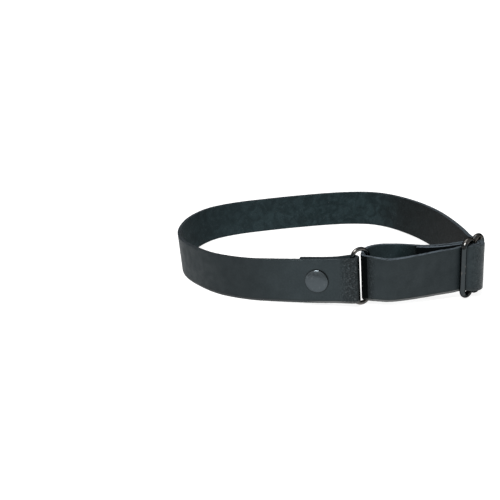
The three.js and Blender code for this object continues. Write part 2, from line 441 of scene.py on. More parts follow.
@dataclass(frozen=True)
class SmoothLeather:
    """The dyed outer side: charcoal with a soft sheen, fine pores and creases at the folds.

    Attributes:
        width: Width of the strap, in metres.
        rivet: Place of the cap rivet along the flat strap and up its width, in metres.
        rivet_shadow: Distances from the rivet's axis where the painted shadow round its cap ends and
            starts.
        worn_rim: How far the upper rim is worn, in metres.
        groove_shade: Heights over which painted shade darkens the leather towards the lower rim, in
            metres.
        foot: Heights over which the lower rim turns pale with painted floor light, in metres.
        name: The material's name.
        dye: The leather's colour.
        pale: Its colour in soft clouds.
        mottled: Its fine mottling.
        painted_shade: The painted shade in creases, in the turns, along the lower rim and round the cap
            rivet.
        flecked: The flecks between the creases.
        worn: The worn upper rim.
        painted_floor_light: The painted floor light on the lower rim.
        roughness: Least and greatest roughness.
        specular: How much it shines.
        sheen_tint: The shine's colour.
    """

    width: float
    rivet: tuple[float, float]
    rivet_shadow: tuple[float, float] = (5.3 * MM, 4.9 * MM)
    worn_rim: float = 0.8 * MM
    groove_shade: tuple[float, float] = (1.8 * MM, 1.1 * MM)
    foot: tuple[float, float] = (1.1 * MM, 0.8 * MM)
    name: str = "smooth_leather"
    dye: Colour = (0.0055, 0.009, 0.0105)
    pale: Colour = (0.01, 0.0145, 0.0165)
    mottled: Colour = (0.018, 0.024, 0.027)
    painted_shade: Colour = (0.0015, 0.002, 0.0022)
    flecked: Colour = (0.075, 0.085, 0.09)
    worn: Colour = (0.04, 0.047, 0.052)
    painted_floor_light: Colour = (0.1, 0.1, 0.098)
    roughness: tuple[float, float] = (0.34, 0.46)
    specular: float = 0.4
    sheen_tint: Colour = (0.78, 0.94, 1.0)

    def dyed(self, shader: Shader) -> Socket:
        """The dye, cloudy and finely mottled.

        Args:
            shader: The material that is made.

        Returns:
            Its colour.
        """
        clouds = shader.spread(shader.noise(9 * MM, detail=3.0, warp=0.6), 0.3, 0.7)
        mottle = shader.spread(shader.noise(0.8 * MM, detail=3.0), 0.35, 0.7, (0.0, 0.35))
        return shader.mix(mottle, shader.mix(clouds, self.dye, self.pale), self.mottled)

    def crease(self, shader: Shader) -> Socket:
        """The creases: fine wrinkles where the leather is folded.

        Args:
            shader: The material that is made.

        Returns:
            1 in the middle of a crease, 0 away from it.
        """
        wrinkle = shader.noise((0.7 * MM, 1 * MM, 1.6 * MM), detail=3.0, warp=1.4)
        beside = shader.spread(shader.maths("ABSOLUTE", shader.maths("SUBTRACT", wrinkle, 0.5)), 0.0, 0.11)
        return shader.times(shader.number(CREASED), shader.maths("SUBTRACT", 1.0, beside))

    def rim_wear_and_shading(self, shader: Shader, colour: Socket) -> Socket:
        """Wear along the upper rim, painted shade along the lower rim and in the turns, and painted floor
        light on the lower rim.

        Args:
            shader: The material that is made.
            colour: The colour so far.

        Returns:
            The colour with them.
        """
        up = shader.axis("Z")
        patchy = shader.spread(shader.noise(1.4 * MM, detail=3.0), 0.35, 0.75)
        upper = shader.spread(up, self.width - self.worn_rim, self.width)
        colour = shader.mix(shader.times(upper, patchy, shader.number(PALE_EDGE)), colour, self.worn)
        # Painted shade along the lower rim.
        groove_shade = shader.spread(up, *self.groove_shade, (0.0, 0.7))
        colour = shader.mix(groove_shade, colour, self.painted_shade)
        colour = shader.mix(shader.number(SHADED), colour, self.painted_shade)
        # Painted floor light on the lower rim.
        lower = shader.spread(up, *self.foot)
        return shader.mix(shader.times(lower, shader.number(FLOOR_LIGHT_FOOT)), colour, self.painted_floor_light)

    def from_rivet(self, shader: Shader) -> Socket:
        """The distance from the cap rivet's axis.

        Args:
            shader: The material that is made.

        Returns:
            The distance on the flat strap, in metres.
        """
        along = shader.maths("SUBTRACT", shader.axis("X"), self.rivet[0])
        above = shader.maths("SUBTRACT", shader.axis("Z"), self.rivet[1])
        return shader.maths(
            "SQRT", shader.maths("ADD", shader.times(along, along), shader.times(above, above))
        )

    def material(self) -> bpy.types.Material:
        """The finish as a material.

        Returns:
            The material, whose patterns follow the flat strap.
        """
        shader = Shader(self.name, FLAT)
        crease = self.crease(shader)
        # Creases take painted shade.
        colour = shader.mix(shader.times(crease, 0.85), self.dyed(shader), self.painted_shade)
        flecks = shader.spread(shader.noise(0.55 * MM, detail=3.0), 0.5, 0.66)
        flecked = shader.times(flecks, shader.number(CREASED), 0.8)
        colour = self.rim_wear_and_shading(shader, shader.mix(flecked, colour, self.flecked))
        # A painted shadow in a ring round the cap rivet.
        colour = shader.mix(shader.spread(self.from_rivet(shader), *self.rivet_shadow), colour, self.painted_shade)

        pores = shader.spread(shader.cells(0.42 * MM), 0.0, 0.5)
        grain = shader.bump(pores, 0.012 * MM)
        skin = shader.bump(shader.noise(0.9 * MM, detail=4.0, warp=0.4), 0.03 * MM, grain)
        folds = shader.bump(shader.maths("SUBTRACT", 1.0, crease), 0.45 * MM, skin)
        rough = shader.spread(shader.noise(3.5 * MM, detail=4.0), 0.3, 0.7, self.roughness)
        rough = shader.maths("ADD", rough, shader.times(shader.number(SHADED), 0.5))
        return shader.finish(
            Base_Color=colour,
            Roughness=rough,
            Specular_IOR_Level=self.specular,
            Specular_Tint=self.sheen_tint,
            Normal=folds,
        )


@dataclass(frozen=True)
class SuedeSide:
    """The inner side: near black, matt and fibrous, with fine pale specks.

    Attributes:
        nap: The suede's colour.
        brushed: Its colour where the fibres are brushed up.
        nap_painted_light: The painted light that it tends to where its tone is above 0.
        nap_painted_shade: The painted shade that it tends to where its tone is below 0.
        speck: The specks.
        roughness: Its roughness.
        specular: How much it shines.
        sheen: How much the fibres light up at a slant.
    """

    nap: Colour = (0.0085, 0.0172, 0.0192)
    brushed: Colour = (0.0225, 0.039, 0.0435)
    nap_painted_light: Colour = (0.022, 0.034, 0.0385)
    nap_painted_shade: Colour = (0.0004, 0.0012, 0.0014)
    speck: Colour = (0.09, 0.1, 0.105)
    roughness: float = 0.95
    specular: float = 0.09
    sheen: float = 0.03

    def material(self) -> bpy.types.Material:
        """The finish as a material.

        Returns:
            The material, whose patterns follow the flat strap.
        """
        shader = Shader("suede_side", FLAT)
        brushed = shader.spread(shader.noise(5 * MM, detail=4.0, warp=1.0), 0.35, 0.7)
        fibres = shader.noise((0.5 * MM, 0.3 * MM, 0.28 * MM), detail=4.0, warp=1.2)
        shade = shader.times(brushed, shader.spread(fibres, 0.3, 0.75, (0.4, 1.3)))
        colour = shader.mix(shade, self.nap, self.brushed)
        # Painted light and painted shade on the nap, by its tone along the strap.
        tone = shader.number(NAP_SHADING)
        colour = shader.mix(tone, colour, self.nap_painted_light)
        colour = shader.mix(shader.times(tone, -1.0), colour, self.nap_painted_shade)
        speckled = shader.spread(shader.noise(0.33 * MM, detail=1.0), 0.7, 0.78)
        colour = shader.mix(shader.times(speckled, 0.7), colour, self.speck)
        pile = shader.bump(fibres, 0.16 * MM)
        tufts = shader.bump(shader.noise(1.3 * MM, detail=3.0, warp=0.8), 0.12 * MM, pile)
        return shader.finish(
            Base_Color=colour,
            Roughness=self.roughness,
            Specular_IOR_Level=self.specular,
            Sheen_Weight=self.sheen,
            Sheen_Roughness=0.6,
            Normal=tufts,
        )


@dataclass(frozen=True)
class CutEdge:
    """The raw cut edges: slate blue fibres, pale where the dye is thin.

    Attributes:
        dyed: The edges' colour.
        pale: Its colour where the dye is thin.
        frayed: Loose fibres.
        painted_floor_light: The painted floor light on the lower edges.
        roughness: Their roughness.
        specular: How much they shine.
        foot: Heights over which an edge turns to the painted floor light of the lower edges, in metres.
    """

    dyed: Colour = (0.006, 0.009, 0.0105)
    pale: Colour = (0.12, 0.148, 0.175)
    frayed: Colour = (0.24, 0.27, 0.3)
    painted_floor_light: Colour = (0.085, 0.085, 0.08)
    roughness: float = 0.9
    specular: float = 0.2
    foot: tuple[float, float] = (4 * MM, 2 * MM)

    def material(self) -> bpy.types.Material:
        """The finish as a material.

        Returns:
            The material, whose patterns follow the flat strap.
        """
        shader = Shader("cut_edge", FLAT)
        layers = shader.noise((1.7 * MM, 0.22 * MM, 0.4 * MM), detail=4.0, warp=0.8)
        patches = shader.noise(2.6 * MM, detail=3.0)
        shade = shader.spread(shader.maths("ADD", layers, shader.times(patches, 0.6)), 0.5, 0.9)
        colour = shader.mix(shader.times(shade, shader.number(PALE_EDGE)), self.dyed, self.pale)
        lint = shader.spread(shader.noise((0.35 * MM, 0.12 * MM, 0.12 * MM), detail=2.0), 0.64, 0.76)
        colour = shader.mix(shader.times(lint, shader.number(PALE_EDGE), 0.7), colour, self.frayed)
        # Painted floor light on the lower edges.
        lower = shader.spread(shader.axis("Z"), *self.foot, (0.0, 0.9))
        colour = shader.mix(lower, colour, self.painted_floor_light)
        torn = shader.bump(layers, 0.15 * MM)
        fuzz = shader.bump(shader.noise(0.3 * MM, detail=4.0), 0.12 * MM, torn)
        return shader.finish(
            Base_Color=colour,
            Roughness=self.roughness,
            Specular_IOR_Level=self.specular,
            Normal=fuzz,
        )


@dataclass(frozen=True)
class BlackNickel:
    """Black nickel plating: dark, with worn patches and a painted reflection at the ends of the loops.

    Attributes:
        name: The material's name.
        plate: The plating's colour.
        wear_and_reflection: Its colour in worn patches and in the painted reflection at the ends of the
            loops.
        painted_rim_highlight: The painted highlight on a rivet's upper rim.
        painted_wall_shadow: The painted shadow at the foot of a rivet's wall.
        roughness: Least and greatest roughness.
        polish: Roughness of a rivet's shiny upper rim.
        grain: Depth of the fine bumps, in metres.
        outline: Tint of the shine at a slant.
        middle: Height of the middle of the wire loops, in metres.
        ends: Distances above or below it where the painted reflection at the ends of the loops starts and
            is full, in metres.
        turned: Whether it is on a rivet, which has a painted shadow at its wall's foot and a shiny rim
            with a painted highlight.
    """

    name: str
    plate: Colour = (0.043, 0.05, 0.053)
    wear_and_reflection: Colour = (0.12, 0.113, 0.106)
    painted_rim_highlight: Colour = (0.2, 0.235, 0.255)
    painted_wall_shadow: Colour = (0.004, 0.004, 0.004)
    roughness: tuple[float, float] = (0.1, 0.2)
    polish: float = 0.14
    grain: float = 0.0015 * MM
    outline: Colour = (0.1, 0.1, 0.1)
    middle: float = 12.4 * MM
    ends: tuple[float, float] = (9 * MM, 11.3 * MM)
    turned: bool = False

    def material(self) -> bpy.types.Material:
        """The finish as a material.

        Returns:
            The material, in Object coordinates.
        """
        shader = Shader(self.name)
        off_middle = shader.maths("ABSOLUTE", shader.maths("SUBTRACT", shader.axis("Z"), self.middle))
        # Painted reflection at the top and bottom ends of the loops, added to the worn patches.
        ends = shader.spread(off_middle, *self.ends, (0.0, 0.22))
        wear_and_reflection_level = shader.maths("ADD", shader.noise(2.2 * MM, detail=4.0, warp=0.5), ends)
        wear_and_reflection = shader.spread(wear_and_reflection_level, 0.58, 0.8)
        colour = shader.mix(wear_and_reflection, self.plate, self.wear_and_reflection)
        rough = shader.spread(shader.noise(0.8 * MM, detail=3.0), 0.3, 0.7, self.roughness)
        if self.turned:
            # A painted highlight on a rivet's upper rim.
            colour = shader.mix(shader.number(POLISH_AND_HIGHLIGHT), colour, self.painted_rim_highlight)
            # A painted shadow at the foot of a rivet's wall.
            colour = shader.mix(shader.number(SEAM_SHADOW), colour, self.painted_wall_shadow)
            rough = shader.mix_numbers(shader.number(POLISH_AND_HIGHLIGHT), rough, self.polish)
        normal = shader.bump(shader.noise(0.5 * MM, detail=3.0), self.grain)
        return shader.finish(
            Base_Color=colour, Metallic=1.0, Roughness=rough, Specular_Tint=self.outline, Normal=normal
        )


# The strap's route

# The front of the band leans back by these angles in degrees, with its ring and its slide.
FRONT_LEAN = 6.0
SLIDE_LEAN = 4.0
# The cap rivet's height up the strap, in millimetres.
CAP_RIVET_HEIGHT = 9.8


@dataclass(frozen=True)
class Bar:
    """An upright bar on the plan, in millimetres, and the leather's lower edge at it.

    Attributes:
        x: Place on the plan, across.
        y: Place on the plan, from front to back.
        lift: Height of the leather's lower edge.
        lean: How far the bar leans back, in degrees.
    """

    x: float
    y: float
    lift: float
    lean: float = FRONT_LEAN

    def at(self, distance: float, bearing: float) -> "Bar":
        """A place beside this bar, with the same lift and lean.

        Args:
            distance: How far away, in millimetres.
            bearing: In which direction, in degrees.

        Returns:
            The place, as a bar.
        """
        angle = math.radians(bearing)
        return Bar(
            self.x + distance * math.cos(angle),
            self.y + distance * math.sin(angle),
            self.lift,
            self.lean,
        )


class Stretch(Enum):
    """The stretches of the strap, in its own order from one end to the other."""

    FIRST_END = "first_end"
    FIRST_FOLD = "first_fold"
    FRONT = "front"
    LEFT_END = "left_end"
    BACK = "back"
    RIGHT_END = "right_end"
    OUTER_TURN = "outer_turn"
    FRONT_LAYER = "front_layer"
    RING_TURN = "ring_turn"
    INNER_LAYER = "inner_layer"
    INNER_TURN = "inner_turn"
    SECOND_END = "second_end"


@dataclass(frozen=True)
class WireShape:
    """Wire loops that stand side by side and share their bars.

    Attributes:
        wire: Diameter of the wire, in millimetres.
        pitch: Distance between neighbouring bars, in millimetres.
        height: Height of the loops, in millimetres.
        yaw: Turn on the plan, in degrees.
        loops: How many loops there are.
    """

    wire: float
    pitch: float
    height: float
    yaw: float
    loops: int


RING = WireShape(wire=1.7, pitch=6.8, height=24.8, yaw=13, loops=1)
SLIDE = WireShape(wire=2.3, pitch=6.7, height=25.6, yaw=38, loops=2)
RING_LEFT_BAR = Bar(10.1, -48.2, 2.3)
RING_RIGHT_BAR = RING_LEFT_BAR.at(RING.pitch, RING.yaw)
SLIDE_CENTRE_BAR = Bar(58.5, -47.9, 3.9, SLIDE_LEAN)

# Rows of the strap's centreline: x and y of its lower edge, lift, and degrees that the wall leans
FRONT_ROWS = (
    (3.2, -47.6, 1.9, 6),
    (-4.1, -44.9, 1.3, 6),
    (-20.0, -38.8, 0.5, 5),
    (-32.1, -33.8, 0.1, 4),
    (-45.2, -25.8, 0.0, 4),
    (-54.6, -15.6, 0.0, 3),
)
LEFT_END_ROWS = (
    (-62.0, -3.6, 0.0, 2),
    (-64.7, 7.5, 0.0, 2),
    (-64.2, 20.0, 0.0, 1),
    (-60.2, 33.2, 0.0, 0),
    (-51.2, 44.4, 0.0, 0),
)
BACK_ROWS = (
    (-37.5, 49.8, 0.0, 0),
    (-20.0, 51.8, 0.0, 0),
    (0.0, 52.6, 0.0, 0),
    (18.0, 52.1, 0.0, 0),
    (30.5, 50.1, 0.0, 0),
)
RIGHT_END_ROWS = (
    (40.4, 46.0, 0.1, 0),
    (48.0, 38.2, 0.4, 0),
    (54.0, 26.4, 0.9, 1),
    (58.5, 12.6, 1.5, 2),
    (61.0, -2.0, 2.1, 3),
    (61.6, -17.0, 2.8, 4),
    (61.0, -31.0, 3.5, 4),
    (60.4, -40.6, 3.8, 4),
)
FRONT_LAYER_ROWS = (
    (53.6, -49.8, 3.7, 3),
    (49.4, -49.9, 3.2, 1.5),
    (44.0, -50.3, 3.0, 1.5),
    (36.0, -51.1, 2.75, -0.5),
    (28.2, -51.5, 2.5, -2.5),
    (23.4, -51.2, 2.4, -3.5),
    (19.6, -49.8, 2.3, 0),
)
INNER_LAYER_ROWS = (
    (16.1, -42.6, 2.4, 6),
    (18.7, -39.4, 2.4, 6),
    (23.4, -38.2, 2.5, 6),
    (28.2, -39.1, 2.6, 6),
    (33.2, -41.2, 2.8, 6),
    (38.2, -43.7, 2.9, 6),
    (42.2, -45.2, 3.0, 6),
    (46.0, -45.9, 3.2, 6),
    (50.2, -45.9, 3.4, 5),
    (54.4, -45.8, 3.7, 4),
)


# Bearings from the bar where each turn starts and ends, in degrees
BEARINGS = {
    Stretch.FIRST_FOLD: (74, -106),
    Stretch.OUTER_TURN: (22, -118),
    Stretch.RING_TURN: (-105, -205),
    Stretch.INNER_TURN: (85, -120),
}


@dataclass
class Route:
    """The strap's centreline, and the directions of its wall all along it.

    Attributes:
        thickness: Thickness of the leather, in millimetres.
        pared: Its thickness where it is pared for the turn round the slide's bar.
        pared_rows: Rows over which the leather thins to that.
        layer_gap: Gap between two layers that lie together, in millimetres.
        wire_gap: Gap between the leather and a bar that it turns round, in millimetres.
        ring_slack: How much wider it turns round the ring's right bar, in millimetres.
        edge_rounding: Radius of the leather's edges, in millimetres.
        first_end: Length of the first end beyond its fold, in millimetres.
        second_end: Length of the second end beyond its fold, in millimetres.
        turn_step: Degrees from row to row in a turn.
        samples: Samples in each span between two rows.
        distance: Distance of each sample from the first end, in metres.
        base: Place of the strap's lower edge at each sample, in metres.
        up: Direction up the wall at each sample.
        out: Direction out of the smooth side at each sample.
        share: Share of the full thickness at each sample.
        starts: Number of each stretch's first row.
    """

    thickness: float = 1.7
    pared: float = 1.1
    pared_rows: float = 2.0
    layer_gap: float = 0.2
    wire_gap: float = 0.2
    ring_slack: float = 0.2
    edge_rounding: float = 0.3
    first_end: float = 15.0
    second_end: float = 18.0
    turn_step: float = 22.0
    samples: int = 24
    distance: np.ndarray = field(init=False)
    base: np.ndarray = field(init=False)
    up: np.ndarray = field(init=False)
    out: np.ndarray = field(init=False)
    share: np.ndarray = field(init=False)
    starts: dict[Stretch, int] = field(init=False)

    def __post_init__(self) -> None:
        """Works out the route from the rows, seated on the frame."""
        stretches = self.rows()
        self.starts = {}
        count = 0
        for stretch, rows in stretches.items():
            self.starts[stretch] = count
            count += len(rows)
        rows = np.vstack(list(stretches.values()))
        base, lean = self.centreline(rows)
        base[:, 2] = np.maximum(base[:, 2], 0.0)
        base = (base + self.plan_shift()) * MM
        along = np.gradient(base, axis=0)
        along /= np.linalg.norm(along, axis=1)[:, None]
        lean = np.radians(lean)
        self.up = np.stack([np.zeros_like(lean), np.sin(lean), np.cos(lean)], axis=1)
        out = np.cross(self.up, along)
        self.out = out / np.linalg.norm(out, axis=1)[:, None]
        steps = np.linalg.norm(np.diff(base, axis=0), axis=1)
        self.distance = np.concatenate([[0.0], np.cumsum(steps)])
        self.share = self.thickness_share(np.arange(len(base)) / self.samples)
        seat = (self.thickness * self.share / 2 - self.edge_rounding) * MM
        base[:, 2] += seat * np.abs(self.out[:, 2])
        self.base = base

    def thickness_share(self, rows: np.ndarray) -> np.ndarray:
        """How thick the leather is: pared where it turns round the slide's middle bar.

        Args:
            rows: Places along the strap, as numbers of rows from its first end.

        Returns:
            For each place a share of the full thickness.
        """
        first = self.starts[Stretch.INNER_TURN]
        last = self.starts[Stretch.SECOND_END] - 1
        ramp = np.clip(np.minimum(rows - first, last - rows) / self.pared_rows + 1, 0, 1)
        thinned = ramp * ramp * (3 - 2 * ramp)
        return 1 + (self.pared / self.thickness - 1) * thinned

    @property
    def layer_step(self) -> float:
        """Distance between the middles of two layers that lie together, in millimetres."""
        return self.thickness + self.layer_gap

    @property
    def length(self) -> float:
        """Length of the strap, in metres."""
        return float(self.distance[-1])

    @property
    def cap_rivet(self) -> float:
        """Distance of the cap rivet from the first end, in metres."""
        return self.at_row(Stretch.FRONT, 1)

    @staticmethod
    def plan_shift() -> np.ndarray:
        """How far the tables lie from the frame's own place, found by the ring.

        Returns:
            The shift on X, Y and Z, in millimetres.
        """
        middle = RING_LEFT_BAR.at(RING.pitch / 2, RING.yaw)
        low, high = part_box("ring")
        leaned = RING.height / 2 * math.sin(math.radians(FRONT_LEAN))
        x = (low.x + high.x) / 2 / MM - middle.x
        y = (low.y + high.y) / 2 / MM - middle.y - leaned
        return np.array([x, y, 0.0])

    def rows(self) -> dict[Stretch, np.ndarray]:
        """The rows of every stretch, in the strap's own order.

        Returns:
            For each stretch an array with x, y, lift and lean.
        """
        ring_turn = RING.wire / 2 + self.wire_gap + self.thickness / 2
        inner_turn = SLIDE.wire / 2 + self.wire_gap + self.pared / 2
        outer_turn = inner_turn + self.pared / 2 + self.layer_gap + self.thickness / 2
        front = np.array(FRONT_ROWS, float)
        inner = np.array(INNER_LAYER_ROWS, float)
        first = self.first_stretch(self.beside(front), self.first_end)
        second = self.first_stretch(self.beside(inner)[::-1], self.second_end)
        return {
            Stretch.FIRST_END: first[::-1],
            Stretch.FIRST_FOLD: self.turn(Stretch.FIRST_FOLD, RING_LEFT_BAR, ring_turn),
            Stretch.FRONT: front,
            Stretch.LEFT_END: np.array(LEFT_END_ROWS, float),
            Stretch.BACK: np.array(BACK_ROWS, float),
            Stretch.RIGHT_END: np.array(RIGHT_END_ROWS, float),
            Stretch.OUTER_TURN: self.turn(Stretch.OUTER_TURN, SLIDE_CENTRE_BAR, outer_turn),
            Stretch.FRONT_LAYER: np.array(FRONT_LAYER_ROWS, float),
            Stretch.RING_TURN: self.turn(Stretch.RING_TURN, RING_RIGHT_BAR, ring_turn + self.ring_slack),
            Stretch.INNER_LAYER: inner,
            Stretch.INNER_TURN: self.turn(Stretch.INNER_TURN, SLIDE_CENTRE_BAR, inner_turn),
            Stretch.SECOND_END: second,
        }

    def turn(self, stretch: Stretch, bar: Bar, radius: float) -> np.ndarray:
        """Rows of a clockwise turn round a bar.

        Args:
            stretch: The turn.
            bar: The bar.
            radius: Radius of the centreline, in millimetres.

        Returns:
            The rows.
        """
        start, end = BEARINGS[stretch]
        steps = max(2, round((start - end) / self.turn_step))
        places = [bar.at(radius, start + (end - start) * i / steps) for i in range(steps + 1)]
        return np.array([(place.x, place.y, place.lift, place.lean) for place in places])

    def beside(self, rows: np.ndarray) -> np.ndarray:
        """Rows of a layer that lies against others, to the right of their direction.

        Args:
            rows: The rows that it lies against.

        Returns:
            The rows beside them.
        """
        padded = np.vstack([rows[:1], rows, rows[-1:]])
        along = padded[2:, :2] - padded[:-2, :2]
        along /= np.linalg.norm(along, axis=1)[:, None]
        moved = rows.copy()
        moved[:, 0] += self.layer_step * along[:, 1]
        moved[:, 1] -= self.layer_step * along[:, 0]
        return moved

    @staticmethod
    def first_stretch(rows: np.ndarray, length: float) -> np.ndarray:
        """The first rows of a list, as far as a length along it.

        Args:
            rows: The rows.
            length: The length, in millimetres.

        Returns:
            The rows as far as the length, ending exactly there.
        """
        steps = np.linalg.norm(np.diff(rows[:, :2], axis=0), axis=1)
        walked = np.concatenate([[0.0], np.cumsum(steps)])
        whole = rows[walked < length]
        last = [np.interp(length, walked, rows[:, column]) for column in range(rows.shape[1])]
        return np.vstack([whole, last])

    def centreline(self, rows: np.ndarray) -> tuple[np.ndarray, np.ndarray]:
        """A centripetal Catmull-Rom curve through the rows.

        Args:
            rows: Rows of x, y, lift and lean.

        Returns:
            The sampled places, and the lean at each of them.
        """
        points = rows[:, :3]
        before = 2 * points[0] - points[1]
        after = 2 * points[-1] - points[-2]
        padded = np.vstack([before, points, after])
        knots = np.sqrt(np.linalg.norm(np.diff(padded, axis=0), axis=1))[:, None]
        t = np.linspace(0, 1, self.samples, endpoint=False)[:, None]
        places = []
        leans = []
        for i in range(len(points) - 1):
            p0, p1, p2, p3 = padded[i : i + 4]
            d0, d1, d2 = knots[i : i + 3]
            m1 = d1 * ((p1 - p0) / d0 - (p2 - p0) / (d0 + d1) + (p2 - p1) / d1)
            m2 = d1 * ((p2 - p1) / d1 - (p3 - p1) / (d1 + d2) + (p3 - p2) / d2)
            c2 = -3 * p1 + 3 * p2 - 2 * m1 - m2
            c3 = 2 * p1 - 2 * p2 + m1 + m2
            places.append(p1 + m1 * t + c2 * t**2 + c3 * t**3)
            leans.append(rows[i, 3] + (rows[i + 1, 3] - rows[i, 3]) * t[:, 0])
        places.append(points[-1:])
        leans.append(rows[-1:, 3])
        return np.vstack(places), np.concatenate(leans)

    def at_row(self, stretch: Stretch, row: int) -> float:
        """Distance from the first end, in metres, of a row of a stretch, by its number there."""
        return float(self.distance[(self.starts[stretch] + row) * self.samples])

    def middle_of(self, stretch: Stretch) -> float:
        """Distance along the strap of the middle of a turn.

        Args:
            stretch: The turn.

        Returns:
            The distance from the first end, in metres.
        """
        order = list(Stretch)
        following = order[order.index(stretch) + 1]
        last = self.starts[following] - self.starts[stretch] - 1
        return (self.at_row(stretch, 0) + self.at_row(stretch, last)) / 2

    def frames(self, distances: np.ndarray) -> tuple[np.ndarray, np.ndarray, np.ndarray]:
        """The wall at distances along the strap.

        Args:
            distances: Distances from the first end, in metres.

        Returns:
            Places of the lower edge, directions up the wall and out of the smooth side.
        """

        def read(values: np.ndarray) -> np.ndarray:
            """Values at the distances, from values at the samples."""
            columns = [np.interp(distances, self.distance, values[:, k]) for k in range(3)]
            return np.stack(columns, axis=1)

        up = read(self.up)
        out = read(self.out)
        up /= np.linalg.norm(up, axis=1)[:, None]
        out /= np.linalg.norm(out, axis=1)[:, None]
        return read(self.base), up, out

    def bending(self) -> np.ndarray:
        """How sharply the route turns at each sample, in radians for each metre."""
        turned = np.linalg.norm(np.gradient(self.out, axis=0), axis=1)
        return turned / np.maximum(np.gradient(self.distance), 1e-9)


# Wire pieces


@dataclass(frozen=True)
class WirePiece:
    """A ring or slide of round wire, standing on the floor and leaning back with the band.

    Attributes:
        name: The piece's name.
        node: The node that it stands for.
        shape: Its sizes.
        bar: Where its middle stands.
        shift: How far the tables lie from the frame's own place, in millimetres.
        round_sides: Faces round the wire.
        arc_steps: Faces along each round end.
        bar_steps: Faces along each bar.
        solder: Radius of the solder where two loops meet, in wire radii.
        bead_stretch: How much taller than wide a bead of solder is.
        voxel: Size of the faces of a soldered piece, in metres.
    """

    name: str
    node: str
    shape: WireShape
    bar: Bar
    shift: np.ndarray
    round_sides: int = 28
    arc_steps: int = 40
    bar_steps: int = 12
    solder: float = 1.12
    bead_stretch: float = 1.5
    voxel: float = 0.11 * MM

    @property
    def radius(self) -> float:
        """Radius of the wire, in metres."""
        return self.shape.wire / 2 * MM

    @property
    def arc(self) -> float:
        """Radius of a round end, to the middle of the wire, in metres."""
        return self.shape.pitch / 2 * MM

    @property
    def straight(self) -> float:
        """Length of a bar between the round ends, in metres."""
        return (self.shape.height - self.shape.wire - self.shape.pitch) * MM

    @property
    def low(self) -> float:
        """Height of a bar's lower end, in metres."""
        return self.radius + self.arc

    def offsets(self) -> list[float]:
        """The middle of each loop along X, in metres."""
        middle = (self.shape.loops - 1) / 2
        return [(i - middle) * self.shape.pitch * MM for i in range(self.shape.loops)]

    def placement(self) -> Matrix:
        """Where the wire goes, from upright at the origin.

        Returns:
            The matrix that turns it, leans it back and stands it on the floor.
        """
        turn = Matrix.Rotation(math.radians(self.shape.yaw), 4, "Z")
        lean = Matrix.Rotation(math.radians(-self.bar.lean), 4, "X")
        turned = lean @ turn
        lowest = min((turned @ Vector(point)).z for point in self.upright_line()) - self.radius
        x, y = (self.bar.x + self.shift[0]) * MM, (self.bar.y + self.shift[1]) * MM
        return Matrix.Translation((x, y, -lowest)) @ turned

    def upright_line(self, steps: int = 60) -> list[tuple[float, float, float]]:
        """Points on the middle of the wire, before it is placed.

        Args:
            steps: Points along each bar and each round end.

        Returns:
            The points of all the loops.
        """
        points = []
        for offset in self.offsets():
            for i in range(steps):
                share = i / steps
                rise = self.low + self.straight * share
                x, z = self.arc * math.cos(math.pi * share), self.arc * math.sin(math.pi * share)
                points.append((offset + self.arc, 0.0, rise))
                points.append((offset - self.arc, 0.0, rise))
                points.append((offset + x, 0.0, self.low + self.straight + z))
                points.append((offset + x, 0.0, self.low - z))
        return points

    def line(self) -> list[Vector]:
        """Points on the middle of the wire, in place."""
        placement = self.placement()
        return [placement @ Vector(point) for point in self.upright_line()]

    def loop(self, offset: float) -> bpy.types.Object:
        """One upright loop: a ring of vertices drawn up a bar, spun over, drawn down and spun back.

        Args:
            offset: The loop's middle along X, in metres.

        Returns:
            The loop.
        """
        deselect_all()
        bpy.ops.mesh.primitive_circle_add(
            vertices=self.round_sides,
            radius=self.radius,
            location=(offset + self.arc, 0.0, self.low),
        )
        loop = bpy.context.active_object
        top = self.low + self.straight
        step = self.straight / self.bar_steps
        with editing(loop):
            for direction, centre in ((1, top), (-1, self.low)):
                for _ in range(self.bar_steps):
                    extrude(z=direction * step)
                bpy.ops.mesh.spin(
                    steps=self.arc_steps,
                    angle=math.pi,
                    center=(offset, 0.0, centre),
                    axis=(0.0, 1.0, 0.0),
                )
        settle(loop, loop.matrix_world.copy())
        close_seams(loop)
        return loop

    def solder_bead(self, x: float, z: float) -> bpy.types.Object:
        """A bead of solder where two loops meet.

        Args:
            x: Its place across, in metres.
            z: Its height, in metres.

        Returns:
            The bead.
        """
        deselect_all()
        bpy.ops.mesh.primitive_uv_sphere_add(
            segments=32, ring_count=16, radius=self.radius * self.solder, location=(x, 0.0, z)
        )
        bead = bpy.context.active_object
        with editing(bead):
            bpy.ops.transform.resize(
                value=(1.0, 1.0, self.bead_stretch), center_override=(x, 0.0, z)
            )
        settle(bead, bead.matrix_world.copy())
        return bead

    def fuse(self, loops: list[bpy.types.Object]) -> bpy.types.Object:
        """Joins loops that share a bar into one soldered piece.

        Args:
            loops: The loops, side by side.

        Returns:
            The fused piece.
        """
        meets = [offset + self.arc for offset in self.offsets()[:-1]]
        heights = (self.low - self.radius, self.low + self.straight + self.radius)
        beads = [self.solder_bead(x, z) for x in meets for z in heights]
        pick(loops[0])
        for other in loops[1:] + beads:
            other.select_set(True)
        bpy.ops.object.join()
        fused = bpy.context.active_object
        apply_modifier(fused, "REMESH", mode="VOXEL", voxel_size=self.voxel, use_smooth_shade=True)
        apply_modifier(fused, "SMOOTH", factor=0.5, iterations=6)
        return fused

    def build(self) -> None:
        """Makes the piece, places it and plates it."""
        loops = [self.loop(offset) for offset in self.offsets()]
        piece = self.fuse(loops) if len(loops) > 1 else loops[0]
        piece.name = piece.data.name = self.name
        settle(piece, self.placement())
        bpy.ops.object.shade_smooth()
        piece.data.materials.clear()
        piece.data.materials.append(BlackNickel(f"{self.name}_plating").material())
        hand_over(piece, self.node)


# Rivets


